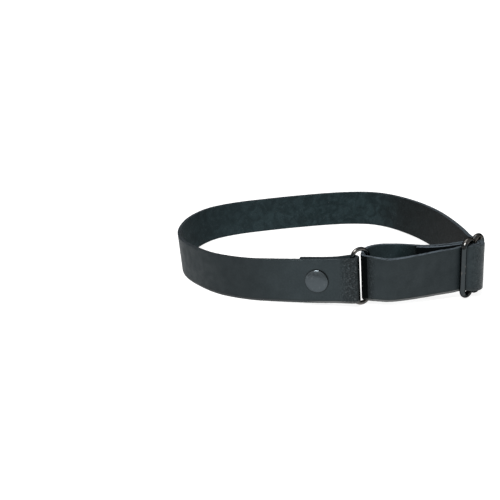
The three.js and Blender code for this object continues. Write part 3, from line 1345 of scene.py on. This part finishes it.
@dataclass(frozen=True)
class Rivet:
    """A cap rivet through two layers: washer on the arm's side, shank, and a low dome outside.

    Attributes:
        name: The piece's name.
        node: The node that it stands for.
        cap: Diameter of the cap, in millimetres.
        dome: Height of the dome on it, in millimetres.
        shank: Diameter of the shank, in millimetres.
        washer: Diameter of the washer, in millimetres.
        height: Its height up the strap, in millimetres.
        plating: Its finish.
        rim: Depth of the cap's rim, in millimetres.
        washer_depth: Depth of the washer, in millimetres.
        sunk: How far both heads are sunk in the leather, in millimetres.
        round_sides: Faces round it.
        dome_steps: Faces along the dome.
        dome_power: How much flatter the dome is in its middle than at its rim.
        wall: How far in from the cap's outline its wall reaches, in millimetres.
        seam_shadow: Height of the painted shadow at the wall's foot, and its soft end, in millimetres.
        polish_and_highlight: How far in the shiny rim with its painted highlight reaches, and its soft
            end, in millimetres.
    """

    name: str
    node: str
    cap: float
    dome: float
    shank: float
    washer: float
    height: float
    plating: BlackNickel
    rim: float = 0.4
    washer_depth: float = 0.6
    sunk: float = 0.0
    round_sides: int = 72
    dome_steps: int = 18
    dome_power: float = 3.4
    wall: float = 0.16
    seam_shadow: tuple[float, float] = (0.36, 0.06)
    polish_and_highlight: tuple[float, float] = (1.7, 1.4)

    def face(self, route: Route) -> float:
        """How far the cap's underside is from the middle of the two layers, in millimetres."""
        return route.thickness + route.layer_gap / 2 + route.wire_gap - self.sunk

    def profile(self, route: Route) -> list[tuple[float, float]]:
        """The turned profile, from the washer's middle round to the dome's.

        Args:
            route: The strap's route, for the depth of the two layers.

        Returns:
            Distances from the axis and heights along it, in millimetres.
        """
        face = self.face(route)
        low = -face - self.washer_depth
        cap, washer, shank = self.cap / 2, self.washer / 2, self.shank / 2
        edge = self.rim * 0.45
        # The washer has a shallow dimple in its middle.
        points = [(0.35 * shank, low + 0.3), (0.6 * shank, low + 0.16), (0.95 * shank, low + 0.02)]
        points += [(1.25 * shank, low), (washer - 0.35, low)]
        points += self.rounded(washer, low, 0.25, -90, 0, 5)
        points += self.rounded(washer, -face, 0.12, 0, 90, 3)
        points += [(shank, -face), (shank, 0.0), (shank, face)]
        points += self.rounded(cap, face, 0.1, -90, 0, 3)
        top = face + self.rim
        points += self.rounded(cap, top + 0.06, edge, 0, 50, 5)
        reach, start = points[-1]
        crown = face + self.rim + self.dome
        for i in range(1, self.dome_steps):
            share = 1 - (i / self.dome_steps) ** 1.7
            points.append((reach * share, start + (crown - start) * (1 - share**self.dome_power)))
        return points

    @staticmethod
    def rounded(
        radius: float, level: float, size: float, start: float, end: float, steps: int
    ) -> list[tuple[float, float]]:
        """A rounded corner of the profile.

        Args:
            radius: The outermost radius that the corner touches.
            level: The level that the corner starts from or ends at.
            size: Radius of the rounding.
            start: Angle where it starts, in degrees.
            end: Angle where it ends, in degrees.
            steps: Steps along it.

        Returns:
            Points of the corner.
        """
        side = -1 if end > 0 else 1
        points = []
        for i in range(steps + 1):
            angle = math.radians(start + (end - start) * i / steps)
            x = radius - size + size * math.cos(angle)
            points.append((x, level + side * size + size * math.sin(angle)))
        return points

    def turned(self, profile: list[tuple[float, float]]) -> bpy.types.Object:
        """Turns a profile about Z, a ring at a time, and closes both poles.

        Args:
            profile: Radii and heights, in millimetres.

        Returns:
            The turned piece.
        """
        deselect_all()
        radius, level = profile[0]
        bpy.ops.mesh.primitive_circle_add(
            vertices=self.round_sides, radius=radius * MM, location=(0.0, 0.0, level * MM)
        )
        piece = bpy.context.active_object
        with editing(piece):
            extrude()
            bpy.ops.mesh.merge(type="CENTER")
            select_edges(piece, lambda edge: len(edge.link_faces) < 2)
            for new_radius, new_level in profile[1:]:
                rise = (new_level - level) * MM
                grown = new_radius / radius
                extrude(z=rise)
                bpy.ops.transform.resize(
                    value=(grown, grown, 1.0), center_override=(0.0, 0.0, new_level * MM)
                )
                radius, level = new_radius, new_level
            extrude()
            bpy.ops.mesh.merge(type="CENTER")
        settle(piece, piece.matrix_world.copy())
        close_seams(piece)
        return piece

    def mark_rim(self, piece: bpy.types.Object, face: float) -> None:
        """Stores the painted shadow at the foot of the cap's wall, and the shine and painted highlight of
        its rim, most of all at the top.

        Args:
            piece: The turned piece, still upright at the origin.
            face: Level of the leather's face, in millimetres.
        """
        places = vertex_places(piece) / MM
        reach = np.hypot(places[:, 0], places[:, 1])
        height = places[:, 2] - face
        from_outline = reach - self.cap / 2
        on_wall = (height > -0.01) & (from_outline > -self.wall)
        seam_shadow = np.clip((self.seam_shadow[0] - height) / self.seam_shadow[1], 0.0, 1.0) * on_wall
        # Nothing below a quarter of the way up from the middle, and full near the top, where the painted
        # highlight goes.
        upper = np.clip(1.5 * places[:, 1] / np.maximum(reach, 0.1) - 0.4, 0.0, 1.0)
        near_rim = np.clip((from_outline + self.polish_and_highlight[0]) / self.polish_and_highlight[1], 0.0, 1.0)
        polish_and_highlight = near_rim * upper * (height > 0)
        store(piece, {SEAM_SHADOW: seam_shadow, POLISH_AND_HIGHLIGHT: polish_and_highlight})

    def placement(self, route: Route, distance: float) -> Matrix:
        """Where the rivet goes, from upright at the origin.

        Args:
            route: The strap's route.
            distance: Its distance along the strap, in metres.

        Returns:
            The matrix that lays its axis across the two layers.
        """
        base, up, out = (Vector(values[0]) for values in route.frames(np.array([distance])))
        middle = base + up * (self.height * MM) - out * (route.layer_step / 2 * MM)
        basis = Matrix((up.cross(out), up, out)).transposed().to_4x4()
        return Matrix.Translation(middle) @ basis

    def build(self, route: Route, distance: float) -> None:
        """Makes the rivet, sets it and plates it.

        Args:
            route: The strap's route.
            distance: Its distance along the strap, in metres.
        """
        piece = self.turned(self.profile(route))
        piece.name = piece.data.name = self.name
        self.mark_rim(piece, self.face(route))
        settle(piece, self.placement(route, distance))
        bpy.ops.object.shade_smooth_by_angle(angle=math.radians(50))
        piece.data.materials.append(self.plating.material())
        hand_over(piece, self.node)


# The leather strap


class Side(IntEnum):
    """The strap's surfaces, in the order of its material slots."""

    SMOOTH = 0
    SUEDE = 1
    CUT = 2
    TURNED = 3


@dataclass(frozen=True)
class Strap:
    """The strap: modelled flat, as it is cut from the hide, and then bent along its route.

    On the flat strap X runs along it, Y out of its smooth side and Z up its width.

    Attributes:
        route: Its route.
        width: Its width, in metres.
        column: Length of a face, in metres.
        rows: Faces across its width.
        plies: Faces through its thickness.
        tight: Radius of a turn under which the faces are split, in metres.
        wave: How far the leather waves out of true, in metres.
        wave_size: Size of the waves, in metres.
        fray: How rough its cut edges are, in metres.
        fray_size: Size of the roughness, in metres.
        seat: Gap that it keeps to the wire, in metres.
        dark_fold: Length of the first fold that is dark, from its start, in metres.
        smooth_from: Least Y of a face's normal on the smooth side.
        suede_to: Greatest Y of a face's normal on the suede side.
    """

    route: Route
    width: float = 19 * MM
    column: float = 0.62 * MM
    rows: int = 20
    plies: int = 3
    tight: float = 7 * MM
    wave: float = 0.12 * MM
    wave_size: float = 14 * MM
    fray: float = 0.16 * MM
    fray_size: float = 0.9 * MM
    seat: float = 0.05 * MM
    dark_fold: float = 4.2 * MM
    smooth_from: float = 0.5
    suede_to: float = -0.8

    @property
    def thickness(self) -> float:
        """Thickness of the leather, in metres."""
        return self.route.thickness * MM

    def flat_blank(self) -> bpy.types.Object:
        """The blank: a sheet of faces, extruded through the leather's thickness.

        Returns:
            The flat strap with square edges.
        """
        deselect_all()
        length = self.route.length
        columns = round(length / self.column)
        bpy.ops.mesh.primitive_grid_add(x_subdivisions=columns, y_subdivisions=self.rows, size=1.0)
        blank = bpy.context.active_object
        centre = (0.0, 0.0, 0.0)
        with editing(blank):
            bpy.ops.transform.resize(value=(length, self.width, 1.0), center_override=centre)
            bpy.ops.transform.rotate(value=-math.pi / 2, orient_axis="X", center_override=centre)
            bpy.ops.transform.translate(value=(length / 2, -self.thickness / 2, self.width / 2))
            for _ in range(self.plies):
                extrude(y=self.thickness / self.plies)
        close_seams(blank)
        return blank

    def split_turns(self, blank: bpy.types.Object) -> None:
        """Splits the faces that lie in tight turns, so that the turns come out round.

        Args:
            blank: The flat strap.
        """
        tight = self.route.bending() > 1 / self.tight

        def in_turn(edge: bmesh.types.BMEdge) -> bool:
            """Whether an edge runs along the strap in a tight turn."""
            first, second = (vertex.co for vertex in edge.verts)
            if abs(first.x - second.x) < self.column / 2:
                return False
            middle = (first.x + second.x) / 2
            return bool(np.interp(middle, self.route.distance, tight) > 0)

        with editing(blank):
            select_edges(blank, in_turn)
            bpy.ops.mesh.subdivide(number_cuts=2)

    def round_edges(self, blank: bpy.types.Object) -> None:
        """Rounds the square edges of the blank.

        Args:
            blank: The flat strap.
        """
        with editing(blank):
            bpy.ops.mesh.select_mode(type="EDGE")
            bpy.ops.mesh.select_all(action="DESELECT")
            bpy.ops.mesh.edges_select_sharp(sharpness=math.radians(60))
            bpy.ops.mesh.bevel(
                offset=self.route.edge_rounding * MM,
                segments=3,
                affect="EDGES",
                clamp_overlap=True,
            )

    def mark_sides(self, blank: bpy.types.Object) -> None:
        """Gives each face its side, and stores the flat places that the finishes follow.

        Args:
            blank: The flat strap.
        """
        mesh = blank.data
        hidden = self.matt_stretches()
        for polygon in mesh.polygons:
            outward = polygon.normal.y
            along = polygon.center.x
            polygon.material_index = Side.CUT
            if outward > self.smooth_from:
                # Faces in these stretches take the copy of the smooth leather with painted shade.
                matt = any(start < along < end for start, end in hidden)
                polygon.material_index = Side.TURNED if matt else Side.SMOOTH
            elif outward < self.suede_to:
                polygon.material_index = Side.SUEDE
        places = vertex_places(blank)
        flat = mesh.attributes.new(FLAT, "FLOAT_VECTOR", "POINT")
        flat.data.foreach_set("vector", places.ravel())
        distances = places[:, 0]
        amounts = {name: np.interp(distances, *zip(*stops)) for name, stops in self.tones().items()}
        store(blank, {CREASED: self.creased(distances), **amounts})

    def creased(self, distances: np.ndarray) -> np.ndarray:
        """How creased the leather is.

        Args:
            distances: Distances along the strap, in metres.

        Returns:
            For each distance a number from 0, smooth, to 1.
        """
        folds = (
            (Stretch.FIRST_FOLD, 6.5 * MM, 1.0),
            (Stretch.RING_TURN, 3.5 * MM, 0.6),
            (Stretch.OUTER_TURN, 4.0 * MM, 0.3),
            (Stretch.INNER_TURN, 4.0 * MM, 0.7),
        )
        amount = np.zeros_like(distances)
        for stretch, reach, strength in folds:
            away = (distances - self.route.middle_of(stretch)) / reach
            amount = np.maximum(amount, strength * np.exp(-(away**4)))
        return amount

    def matt_stretches(self) -> list[tuple[float, float]]:
        """Where the smooth side takes a darker, matt copy of its material as painted shade: in the ring's
        gap, and between the layers.

        Returns:
            Distances along the strap, in metres, from and to.
        """
        at_row = self.route.at_row
        fold = at_row(Stretch.FIRST_FOLD, 0)
        return [
            (fold, fold + self.dark_fold),
            (at_row(Stretch.RING_TURN, 0) + 0.1 * MM, at_row(Stretch.INNER_LAYER, 1)),
            (at_row(Stretch.SECOND_END, 0), self.route.length + MM),
        ]

    def tones(self) -> dict[str, Stops]:
        """How the finishes' tones run along the strap.

        Returns:
            The stops of each attribute, with its tone at them.
        """
        at_row = self.route.at_row
        fold = at_row(Stretch.FIRST_FOLD, 0)
        front = at_row(Stretch.FRONT, 0)
        rivet = self.route.cap_rivet
        layer = at_row(Stretch.FRONT_LAYER, 0)
        turn = at_row(Stretch.RING_TURN, 0)
        inner = at_row(Stretch.INNER_LAYER, 1)
        shaded = (
            (fold + self.dark_fold, 1.0),
            (fold + self.dark_fold + 0.8 * MM, 0.1),
            (rivet, 0.0),
            (rivet + 10 * MM, 0.0),
            (rivet + 32 * MM, 0.6),
            (layer - 6 * MM, 0.0),
            (layer, 0.1),
            (layer + 5 * MM, 0.4),
            (turn - 8 * MM, 0.35),
            (turn - 1.2 * MM, 0.3),
            (turn, 1.0),
            (inner, 1.0),
            (inner + 1 * MM, 0.4),
            (at_row(Stretch.INNER_TURN, 0), 0.4),
            (at_row(Stretch.SECOND_END, 0), 0.9),
        )
        floor_light_foot = (
            (front - 2 * MM, 0.9),
            (front + 7 * MM, 0.9),
            (front + 12 * MM, 0.25),
            (layer, 0.1),
            (layer + 2 * MM, 0.9),
            (turn, 0.9),
            (turn + 1 * MM, 0.1),
        )
        nap_shading = (
            (at_row(Stretch.BACK, 0), 0.3),
            (at_row(Stretch.RIGHT_END, 0), -0.15),
            (at_row(Stretch.RIGHT_END, 2), -0.8),
            (at_row(Stretch.OUTER_TURN, 0), -1.0),
            (at_row(Stretch.FRONT_LAYER, 1), 0.0),
            (turn, 0.6),
            (at_row(Stretch.INNER_LAYER, 3), 0.6),
            (at_row(Stretch.INNER_LAYER, 5), -1.0),
        )
        return {SHADED: shaded, PALE_EDGE: self.edge_tones(), FLOOR_LIGHT_FOOT: floor_light_foot, NAP_SHADING: nap_shading}

    def edge_tones(self) -> Stops:
        """How pale the cut edges are: worn pale by the ring and the slide, dyed dark elsewhere.

        Returns:
            A stop in the middle of each stretch.
        """
        tones = {
            Stretch.FIRST_END: 0.05,
            Stretch.FIRST_FOLD: 0.1,
            Stretch.FRONT: 0.05,
            Stretch.LEFT_END: 0.15,
            Stretch.BACK: 0.2,
            Stretch.RIGHT_END: 0.25,
            Stretch.OUTER_TURN: 0.3,
            Stretch.FRONT_LAYER: 0.55,
            Stretch.RING_TURN: 0.6,
            Stretch.INNER_LAYER: 0.35,
            Stretch.INNER_TURN: 0.4,
            Stretch.SECOND_END: 0.7,
        }
        starts = [self.route.at_row(stretch, 0) for stretch in tones]
        ends = starts[1:] + [self.route.length]
        return [((start + end) / 2, tone) for start, end, tone in zip(starts, ends, tones.values())]

    def roughen(self, blank: bpy.types.Object) -> None:
        """Lets the leather wave a little, and frays its cut edges.

        Args:
            blank: The flat strap.
        """
        cut = blank.vertex_groups.new(name="cut")
        on_cut = {
            vertex
            for polygon in blank.data.polygons
            if polygon.material_index == Side.CUT
            for vertex in polygon.vertices
        }
        cut.add(sorted(on_cut), 1.0, "REPLACE")
        waves = bpy.data.textures.new("leather_waves", "CLOUDS")
        waves.noise_scale = self.wave_size
        fibres = bpy.data.textures.new("edge_fibres", "CLOUDS")
        fibres.noise_scale = self.fray_size
        fibres.noise_depth = 3
        apply_modifier(
            blank, "DISPLACE", texture=waves, texture_coords="LOCAL", direction="Y", strength=self.wave
        )
        apply_modifier(
            blank,
            "DISPLACE",
            texture=fibres,
            texture_coords="LOCAL",
            direction="NORMAL",
            strength=self.fray,
            vertex_group="cut",
        )

    def bend(self, blank: bpy.types.Object) -> None:
        """Bends the flat strap along its route.

        Its wall has to stay parallel to the bars that it turns round, which a curve's own
        twist can't keep, so its vertices are carried there one by one.

        Args:
            blank: The flat strap.
        """
        places = vertex_places(blank)
        base, up, out = self.route.frames(places[:, 0])
        share = np.interp(places[:, 0], self.route.distance, self.route.share)
        bent = base + out * places[:, 1:2] * share[:, None] + up * places[:, 2:3]
        bent[:, 2] = np.maximum(bent[:, 2], 0.0)
        set_vertex_places(blank, bent)

    def press(self, strap: bpy.types.Object, wires: Sequence[WirePiece]) -> None:
        """Lets the wire press into the leather where they meet.

        Args:
            strap: The bent strap.
            wires: The ring and the slide.
        """
        for wire in wires:
            line = wire.line()
            tree = KDTree(len(line))
            for i, point in enumerate(line):
                tree.insert(point, i)
            tree.balance()
            reach = wire.radius + self.seat
            for vertex in strap.data.vertices:
                nearest, _, distance = tree.find(vertex.co)
                if distance < reach:
                    vertex.co = nearest + (vertex.co - nearest).normalized() * reach

    def dress(self, strap: bpy.types.Object) -> None:
        """Gives the strap its finishes.

        Args:
            strap: The bent strap.
        """
        rivet = (self.route.cap_rivet, CAP_RIVET_HEIGHT * MM)
        # A darker, matt copy of the smooth leather with dark flecks and little shine: painted shade in the
        # ring's gap and between the layers.
        turned = SmoothLeather(
            self.width,
            rivet,
            name="shaded_leather_copy",
            flecked=(0.01, 0.01, 0.01),
            roughness=(0.8, 0.95),
            specular=0.06,
        )
        for finish in (SmoothLeather(self.width, rivet), SuedeSide(), CutEdge(), turned):
            strap.data.materials.append(finish.material())

    def build(self, wires: Sequence[WirePiece]) -> None:
        """Makes the strap.

        Args:
            wires: The ring and the slide, which press into it.
        """
        strap = self.flat_blank()
        strap.name = strap.data.name = "leather_strap"
        self.split_turns(strap)
        self.round_edges(strap)
        self.mark_sides(strap)
        self.roughen(strap)
        self.bend(strap)
        self.press(strap, wires)
        self.dress(strap)
        pick(strap)
        bpy.ops.object.shade_smooth()
        hand_over(strap, "strap")


# Floor, light and camera


# Lamps: name, the direction that each is in, how wide it is in degrees, and its strength in
# watts per square metre
LAMPS = (
    ("key", (-0.4, -0.5, 1.0), 24.0, 3.0),
    ("top", (-0.1, 0.35, 1.0), 50.0, 0.9),
)


@dataclass(frozen=True)
class Studio:
    """A plain white floor, soft light from the front and above, and the camera.

    Attributes:
        shift: How far the tables lie from the frame's own place, in millimetres.
        eye: The camera's place in the tables, in millimetres.
        pitch: How far it looks down, in degrees.
        roll: How far it is rolled, in degrees.
        focal: Its focal length in pixels of the photograph.
        frame_side: Side of the photograph, in pixels.
        floor_radius: Radius of the floor, in metres.
        floor_glow: How strongly the floor is lit from below, as a light table.
        world_light: Strength of the light from all round.
        backdrop: Strength of the white that the camera sees behind the floor.
    """

    shift: np.ndarray
    eye: tuple[float, float, float] = (-30.5, -243.8, 108.0)
    pitch: float = 22.0
    roll: float = -5.2
    focal: float = 538.0
    frame_side: float = 500.0
    floor_radius: float = 4.0
    floor_glow: float = 0.88
    world_light: float = 0.32
    backdrop: float = 1.2

    def floor(self) -> None:
        """The floor, a wide white disc."""
        deselect_all()
        bpy.ops.mesh.primitive_circle_add(vertices=96, radius=self.floor_radius, fill_type="NGON")
        floor = bpy.context.active_object
        floor.name = floor.data.name = "studio_floor"
        shader = Shader("studio_paper")
        tone = shader.mix(shader.noise(0.4, detail=2.0), (0.3, 0.3, 0.3), (0.32, 0.32, 0.32))
        paper = shader.finish(
            Base_Color=tone,
            Roughness=0.9,
            Specular_IOR_Level=0.1,
            Emission_Color=(1.0, 1.0, 1.0),
            Emission_Strength=self.floor_glow,
        )
        floor.data.materials.append(paper)

    @staticmethod
    def light(name: str, towards: Sequence[float], angle: float, strength: float) -> None:
        """A wide soft light, far away.

        Args:
            name: Its name.
            towards: The direction that it is in.
            angle: How wide it is, in degrees.
            strength: Its strength, in watts per square metre.
        """
        data = bpy.data.lights.new(name, "SUN")
        data.angle = math.radians(angle)
        data.energy = strength
        lamp = bpy.data.objects.new(name, data)
        lamp.location = Vector(towards).normalized()
        lamp.rotation_euler = (-Vector(towards)).to_track_quat("-Z", "Y").to_euler()
        bpy.context.scene.collection.objects.link(lamp)

    def world(self) -> None:
        """Light from all round, in front of a white background."""
        world = bpy.data.worlds.new("studio")
        world.use_nodes = True
        tree = world.node_tree
        background = tree.nodes["Background"]
        seen = tree.nodes.new("ShaderNodeLightPath")
        strength = tree.nodes.new("ShaderNodeMapRange")
        strength.inputs["To Min"].default_value = self.world_light
        strength.inputs["To Max"].default_value = self.backdrop
        tree.links.new(seen.outputs["Is Camera Ray"], strength.inputs["Value"])
        tree.links.new(strength.outputs["Result"], background.inputs["Strength"])
        background.inputs["Color"].default_value = (1.0, 1.0, 1.0, 1.0)
        bpy.context.scene.world = world

    def camera(self) -> None:
        """The camera, at the photograph's angle."""
        data = bpy.data.cameras.new("camera")
        data.sensor_width = 36.0
        data.lens = self.focal / self.frame_side * data.sensor_width
        data.clip_start = 0.005
        camera = bpy.data.objects.new("camera", data)
        level = Matrix.Rotation(math.radians(90 - self.pitch), 4, "X")
        rolled = Matrix.Rotation(math.radians(self.roll), 4, "Z")
        place = Vector((np.array(self.eye) + self.shift) * MM)
        camera.matrix_world = Matrix.Translation(place) @ level @ rolled
        bpy.context.scene.collection.objects.link(camera)
        bpy.context.scene.camera = camera

    def build(self) -> None:
        """Sets up the floor, the lights, the world and the camera."""
        self.floor()
        for lamp in LAMPS:
            self.light(*lamp)
        self.world()
        bpy.context.scene.view_settings.view_transform = "Standard"
        self.camera()


def main() -> None:
    """Builds the holder and the studio."""
    logging.basicConfig(level=logging.INFO, format="%(name)s: %(message)s")
    route = Route()
    shift = route.plan_shift()
    log.info("strap length %.1f mm, tables shifted %.3f, %.3f mm", route.length / MM, shift[0], shift[1])
    ring = WirePiece("wire_ring", "ring", RING, RING_LEFT_BAR.at(RING.pitch / 2, RING.yaw), shift)
    slide = WirePiece("wire_slide", "slide", SLIDE, SLIDE_CENTRE_BAR, shift)
    Strap(route).build((ring, slide))
    ring.build()
    slide.build()
    satin = BlackNickel(
        name="rivet_satin",
        plate=(0.07, 0.083, 0.091),
        wear_and_reflection=(0.1, 0.115, 0.124),
        roughness=(0.3, 0.42),
        grain=0.012 * MM,
        turned=True,
    )
    front = Rivet(
        name="cap_rivet",
        node="front_rivet",
        cap=9.5,
        dome=0.8,
        shank=3.0,
        washer=7.5,
        height=CAP_RIVET_HEIGHT,
        plating=satin,
    )
    front.build(route, route.cap_rivet)
    end = Rivet(
        name="flat_rivet",
        node="end_rivet",
        cap=6.0,
        dome=0.3,
        shank=2.6,
        washer=6.0,
        height=9.5,
        plating=satin,
        sunk=0.35,
    )
    end.build(route, route.at_row(Stretch.INNER_LAYER, 6))
    Studio(shift).build()


if __name__ == "__main__":
    main()
